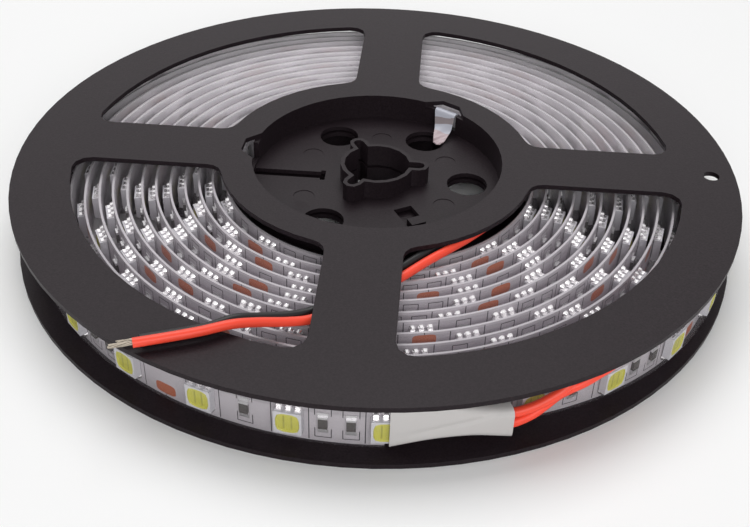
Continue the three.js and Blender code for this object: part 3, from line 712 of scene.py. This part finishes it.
# Outer leads: steps out from the strip's lifted end, degrees on from it, and height
CLIMB_UPPER = [
    (0.4, 2.2, COAT_MIDDLE + 1.2),
    (0.6, 8.1, COAT_MIDDLE + 0.9),
    (0.85, 10.5, COAT_MIDDLE + 1.0),
    (1.05, 11.7, COAT_MIDDLE + 1.2),
    (1.45, 13.5, COAT_MIDDLE + 2.0),
    (1.75, 15.2, COAT_MIDDLE + 3.1),
    (1.95, 16.9, CROSSING - 1.55),
    (1.6, 18.5, CROSSING - 0.38),
    (0.8, 20.3, CROSSING - 0.06),
    (-0.5, 22.3, CROSSING),
    (-1.7, 24.3, CROSSING),
    (-3.1, 27.3, CROSSING),
    (-4.9, 32.3, CROSSING),
    (-6.2, 38.3, CROSSING),
    (-7.0, 45.3, CROSSING),
    (-7.3, 53.3, CROSSING),
]
CLIMB_LOWER = [
    (0.4, 2.2, COAT_MIDDLE - 0.9),
    (0.6, 8.1, COAT_MIDDLE - 1.3),
    (0.85, 10.5, COAT_MIDDLE - 1.4),
    (0.85, 11.7, COAT_MIDDLE - 1.2),
    (0.75, 13.5, COAT_MIDDLE - 0.6),
    (0.75, 15.2, COAT_MIDDLE + 0.7),
    (0.85, 16.9, COAT_MIDDLE + 2.3),
    (1.25, 18.5, COAT_MIDDLE + 3.4),
    (1.7, 20.3, CROSSING - 1.65),
    (1.9, 22.3, CROSSING - 0.75),
    (1.9, 24.3, CROSSING - 0.12),
    (1.0, 27.3, CROSSING),
    (-1.7, 32.3, CROSSING),
    (-3.7, 38.3, CROSSING),
    (-4.8, 45.3, CROSSING),
    (-5.2, 53.3, CROSSING),
]


def climbing(rows):
    """Points of an outer lead, from its rows of steps, degrees and heights."""
    step, degrees, height = np.array(rows).T
    return around(LIFTED + step, END_TURN + degrees, height)


def bare_strands(end, ahead, seed):
    """Seven thin strands: one straight, six wound round it, a little splayed at their tips.

    Strand k turns by 2.2 radians over its reach about the lead's line, 60 degrees from the
    next one, and its distance from the line grows by up to a quarter."""
    count, rows, sides = 7, 14, 7
    strand_radius, lay_radius, twist = 0.135, 0.27, 2.2
    chance = np.random.default_rng(seed)
    ahead = ahead / np.linalg.norm(ahead)
    level = np.cross(ahead, [0, 0, 1.0])
    level /= np.linalg.norm(level)
    above = np.cross(level, ahead)
    t = np.linspace(0, 1, rows)[None, :]
    reach = TIP_LENGTH * chance.uniform(0.9, 1.0, (count, 1))
    apart = np.array([lay_radius] * (count - 1) + [0.0])[:, None]
    spread = apart * (1 + chance.uniform(0.05, 0.25, (count, 1)) * t)
    turn = np.arange(count)[:, None] * math.pi / 3 + twist * t
    line = end + ahead * (t * reach)[..., None]
    line = line + (np.cos(turn) * spread)[..., None] * level
    line = line + (np.sin(turn) * spread)[..., None] * above
    walls, caps = tube_faces(rows, sides)
    steps = np.arange(count)[:, None, None] * rows * sides
    return round_rings(line, strand_radius, sides), [
        (walls + steps).reshape(-1, 4),
        (caps + steps).reshape(-1, sides),
    ]


def lay_lead(end, kind, points, color, slot_name, seed):
    """One lead with its bare end, along the route through the given points."""
    route, length = lead_route(points, LEAD_ROWS)
    rings = round_rings(route, LEAD_DIAMETER / 2, LEAD_SIDES)
    mesh = mesh_from(f"{end}_wire_{kind}", rings, tube_faces(LEAD_ROWS, LEAD_SIDES), 50)
    wire = add_piece(mesh.name, mesh, slot_name, [color], f"{end}_lead_{kind}")
    points, face_sets = bare_strands(route[-1], route[-1] - route[-2], seed)
    mesh = mesh_from(f"{end}_strands_{kind}", points, face_sets, 60)
    bare = add_piece(mesh.name, mesh, "tinned_copper", [STRANDS], f"{end}_tip_{kind}")


lay_lead("inner", "red", INNER_RED, RED, "red_insulation", 1)
lay_lead("inner", "black", INNER_BLACK, BLACK, "black_insulation", 2)
lay_lead("outer", "upper", climbing(CLIMB_UPPER), RED, "red_insulation", 3)
lay_lead("outer", "lower", climbing(CLIMB_LOWER), RED, "red_insulation", 4)


def shrunk_sleeve(name, node, turns, radius, foot, head, corner, dent, crease_height):
    """Flattened tube with a thin wall: rounded outlines from foot to head at each turn.

    The front is pressed in along a slanting line by the dent times exp(-away^2), away being the
    height over the line in press widths. More points lie across the front, between the outline's
    last corner and its first."""
    depth, press_width, more_points = COAT_THICKNESS / 2 + 0.25, 0.5, 15
    middle, half = (foot + head) / 2, (head - foot) / 2
    skins = []
    for wall in (SLEEVE_WALL, 0.0):
        outline = rounded_outline(depth + wall, half + wall, corner + wall, 6)
        columns = outline.shape[1]
        spot = np.r_[np.arange(columns), columns - 1 + np.linspace(0.06, 0.94, more_points)]
        before = spot.astype(int)
        share = (spot - before)[None, :, None]
        outline = outline[:, before] * (1 - share) + outline[:, (before + 1) % columns] * share
        z = middle + outline[..., 1]
        away = (z - crease_height) / press_width
        pressed = dent * np.exp(-(away**2)) * (outline[..., 0] > 0)
        skins.append(around(radius + outline[..., 0] - pressed, turns, z))
    rows, columns = skins[0].shape[:2]
    walls = tube_faces(rows, columns)[0]
    base = rows * columns
    i = np.arange(columns)
    j = (i + 1) % columns
    last = (rows - 1) * columns
    mouths = [
        np.stack([j, i, base + i, base + j], axis=1),
        np.stack([last + i, last + j, base + last + j, base + last + i], axis=1),
    ]
    mesh = mesh_from(name, np.stack(skins), [walls, walls[:, ::-1] + base, *mouths], 50)
    add_piece(name, mesh, "white_sleeve", [SLEEVE], node)


# Both sleeves: t runs from 0 to 1 along the sleeve
t = np.linspace(0, 1, 60)[:, None]
shrunk_sleeve(
    "outer_shrunk_sleeve",
    "outer_sleeve",
    turns=END_TURN - 6 + 16.2 * t,
    radius=strip_line(STRIP_LENGTH - 8)[0] + 0.6 * t**2,
    foot=2.95 - 0.2 * t + 1.87 * np.sin(math.pi * t),
    head=11.27 - 2.3 * smooth_step((t - 0.45) / 0.55),
    corner=0.8 + 0.3 * smooth_step((t - 0.45) / 0.3),
    dent=0.24 * np.sin(math.pi * t),
    crease_height=5.4 + 4.4 * t,
)
narrow = 1 - smooth_step(t / 0.5)
shrunk_sleeve(
    "inner_shrunk_sleeve",
    "inner_sleeve",
    turns=START_TURN - 8 + 14 * t,
    radius=HEEL + 0 * t,
    foot=COAT_MIDDLE - 5.0 + 1.9 * narrow,
    head=COAT_MIDDLE + 5.0 - 1.9 * narrow,
    corner=0.4 + 0.8 * narrow,
    dent=0 * t,
    crease_height=0 * t,
)


# Tape end: steps in from the recess wall, height, and both edges across the slot
TAPE_ROWS = [
    (-2.1, 12.75, 2.8, -2.8),
    (-0.7, 13.5, 2.8, -2.8),
    (0.1, 13.45, 2.7, -2.8),
    (1.0, 12.2, 2.1, -3.0),
    (2.3, 10.6, 1.2, -3.3),
    (4.7, 9.4, -0.1, -3.5),
    (7.2, 9.15, -1.7, -3.55),
]


def tape_film():
    """Thin film through the hub's slot and down on the floor, with low waves across it.

    Every row runs straight between the two edges but for a low wave, and a second layer of
    points lies one thickness behind the first."""
    rows, columns, wave_height, thickness = 48, 13, 0.12, 0.16
    step, height, first, second = (value[:, None] for value in lead_route(TAPE_ROWS, rows)[0].T)
    share = np.linspace(0, 1, columns)[None, :]
    free = smooth_step((step - 0.2) / 2.0)
    wave = wave_height * np.sin(7 * share + 1.9 * step) * free
    across = first + (second - first) * share
    layers = []
    spoke = math.radians(ENTRY_ANGLE)
    for behind in (0.0, thickness):
        out = RECESS_RADIUS - step - behind * 0.6
        z = np.broadcast_to(height + wave - behind, across.shape)
        x = out * math.cos(spoke) - across * math.sin(spoke)
        y = out * math.sin(spoke) + across * math.cos(spoke)
        layers.append(np.stack([x, y, z], axis=-1))
    rings = np.concatenate([layers[0][:, ::-1], layers[1]], axis=1)
    mesh = mesh_from("entry_tape", rings, tube_faces(rows, 2 * columns), 40)
    along = np.repeat(np.linspace(0, 1, rows), 2 * columns)
    both = np.tile(np.r_[share[0][::-1], share[0]], rows)
    print_on(mesh, "film", np.stack([along, both], axis=1))
    tree = TAPE.node_tree
    _, u, v = placed_on(tree, "film")
    # A dark brown diagonal band across the film is painted shade, standing for the shade of a fold
    # in the tape
    painted_fold_shade = ((u - 0.42 + v * 0.1).size() < 0.07) * 0.7
    skin = (u > 0.62) * 0.8
    color = printed(tree, skin, (0.50, 0.51, 0.58), (0.50, 0.36, 0.37))
    color = printed(tree, painted_fold_shade, color, (0.16, 0.10, 0.085))
    tree.links.new(color, tree.nodes["Principled BSDF"].inputs["Base Color"])
    add_piece("entry_tape", mesh, "milky_tape", [TAPE], "tape_end")


tape_film()


def lay_floor():
    """White plane a hair below the reel."""
    corners = FLOOR_REACH * np.array([(-1, -1, 0), (1, -1, 0), (1, 1, 0), (-1, 1, 0)])
    mesh = mesh_from("floor", corners, [np.array([[0, 1, 2, 3]])])
    mesh.materials.append(finish("floor", (0.96, 0.96, 0.96), 0.7, Specular_IOR_Level=0.1))
    floor = bpy.data.objects.new("floor", mesh)
    floor.location.z = -0.05 * MM
    bpy.context.scene.collection.objects.link(floor)


def hang_light(name, place, size, power):
    """Rectangular soft light that faces the reel."""
    data = bpy.data.lights.new(name, "AREA")
    data.shape = "RECTANGLE"
    data.size, data.size_y = size
    data.energy = power
    light = bpy.data.objects.new(name, data)
    bpy.context.scene.collection.objects.link(light)
    light.location = place
    light.rotation_euler = (-Vector(place)).to_track_quat("-Z", "Y").to_euler()


lay_floor()
hang_light("overhead", place=(-0.12, 0.42, 0.92), size=(0.9, 0.7), power=7.4)
hang_light("front_fill", place=(0.15, -0.80, 0.50), size=(0.9, 0.5), power=5.2)

# White sky: whole to the camera and in reflections, dim as a light
scene = bpy.context.scene
world = scene.world or bpy.data.worlds.new("world")
scene.world = world
world.use_nodes = True
sky = world.node_tree.nodes["Background"]
sky.inputs["Color"].default_value = (1.0, 1.0, 1.0, 1)
rays = world.node_tree.nodes.new("ShaderNodeLightPath").outputs
looked_at = Stencil(world.node_tree, rays["Is Camera Ray"])
for kind in ("Is Glossy Ray", "Is Transmission Ray"):
    looked_at = looked_at | Stencil(world.node_tree, rays[kind])
strength = looked_at * (1 - SKY_LIGHT) + SKY_LIGHT
world.node_tree.links.new(strength.socket, sky.inputs["Strength"])

# Camera at the photograph's place, given by its own right, up and forward directions
camera_data = bpy.data.cameras.new("camera")
camera = bpy.data.objects.new("camera", camera_data)
scene.collection.objects.link(camera)
camera_data.sensor_width = 36
camera_data.lens = 51.304
camera_data.clip_start, camera_data.clip_end = 0.01, 20
right = Vector((0.996927, 0.073962, 0.025796))
up = Vector((-0.06527, 0.602273, 0.795617))
ahead = Vector((-0.043309, 0.794856, -0.60525))
facing = Matrix((right, up, -ahead)).transposed()
place = Matrix.Translation(Vector((11.26, -201.401, 138.031)) * MM)
camera.matrix_world = place @ facing.to_4x4()
scene.camera = camera
scene.view_settings.view_transform = "Standard"
